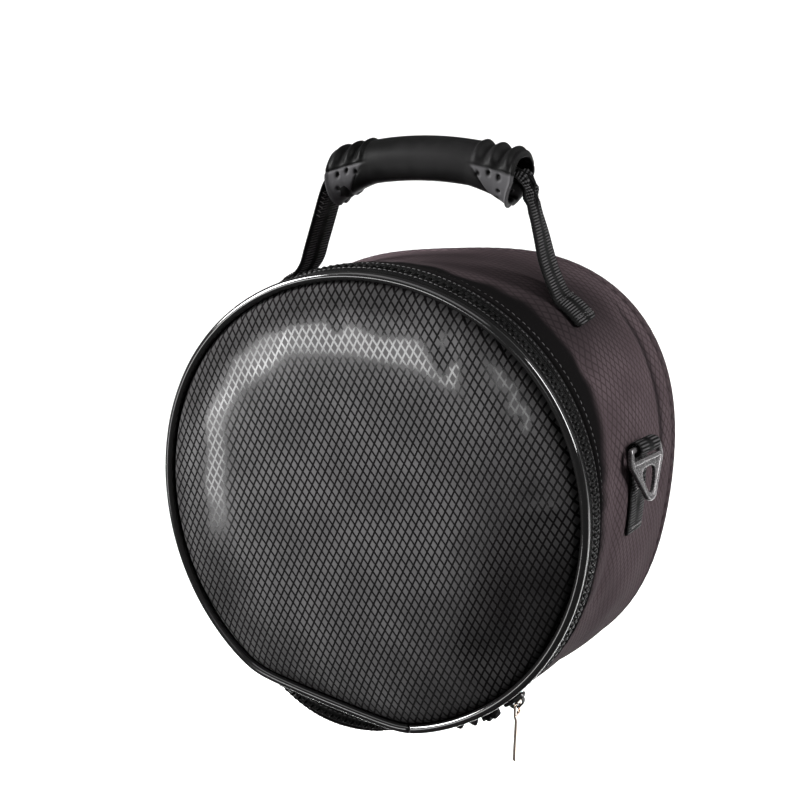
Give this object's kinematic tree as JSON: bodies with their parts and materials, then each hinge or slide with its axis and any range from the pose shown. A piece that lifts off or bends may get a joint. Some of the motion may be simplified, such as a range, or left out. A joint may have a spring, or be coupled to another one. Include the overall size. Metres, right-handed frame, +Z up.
{
  "type": "drum bag",
  "caption": "Round soft padded bag for a small hand drum, with a zipped lid, piped edge, webbing handle with moulded grip and triangular strap rings.",
  "frame": {"origin": "middle of the hand grip, where a hand holds the bag up", "axes": "+X along the handle to the right as seen from the lid, +Y from the lid to the back, +Z up"},
  "size_m": [0.2388, 0.1251, 0.2901],
  "materials": {
    "ripstop": "padded nylon ripstop with a diamond lattice, semi-gloss coating",
    "piping": "glossy vinyl over a cord",
    "zip_tape": "woven polyester tape",
    "zip_coil": "nylon coil",
    "zip_slider": "black enamel on zinc",
    "zip_pull": "bright nickel plate with a warm tint",
    "webbing": "ribbed polypropylene webbing",
    "grip": "moulded soft plastic, satin",
    "ring": "cast metal with a satin grey finish"
  },
  "bodies": {
    "bag": {"side_wall": "ripstop", "back_panel": "ripstop", "back_welt": "ripstop", "front_panel": "ripstop", "lid_hinge": "ripstop", "front_piping": "piping", "zip_tape_front": "zip_tape", "zip_tape_rear": "zip_tape", "zip_end_tab": "zip_tape", "zip_coil": "zip_coil", "zip_slider": "zip_slider", "handle_webbing": "webbing", "hand_grip": "grip", "ring_tab_right": "webbing", "ring_tab_left": "webbing"},
    "ring_right": {"tri_ring_right": "ring"},
    "ring_left": {"tri_ring_left": "ring"},
    "pull": {"zip_pull": "zip_pull"}
  },
  "joints": [
    {"name": "ring_right_swing", "type": "hinge", "parent": "bag", "child": "ring_right", "pos_m": [0.11478, 0, -0.12536], "axis": [-0.2079, -0.9781, 0], "range_deg": [0, 137]},
    {"name": "ring_left_swing", "type": "hinge", "parent": "bag", "child": "ring_left", "pos_m": [-0.111, 0, -0.12637], "axis": [-0.2079, 0.9781, 0], "range_deg": [0, 137]},
    {"name": "zip_pull_swing", "type": "hinge", "parent": "bag", "child": "pull", "pos_m": [0.07277, -0.046, -0.24697], "axis": [0, 1, 0], "range_deg": [-113, 39]}
  ]
}
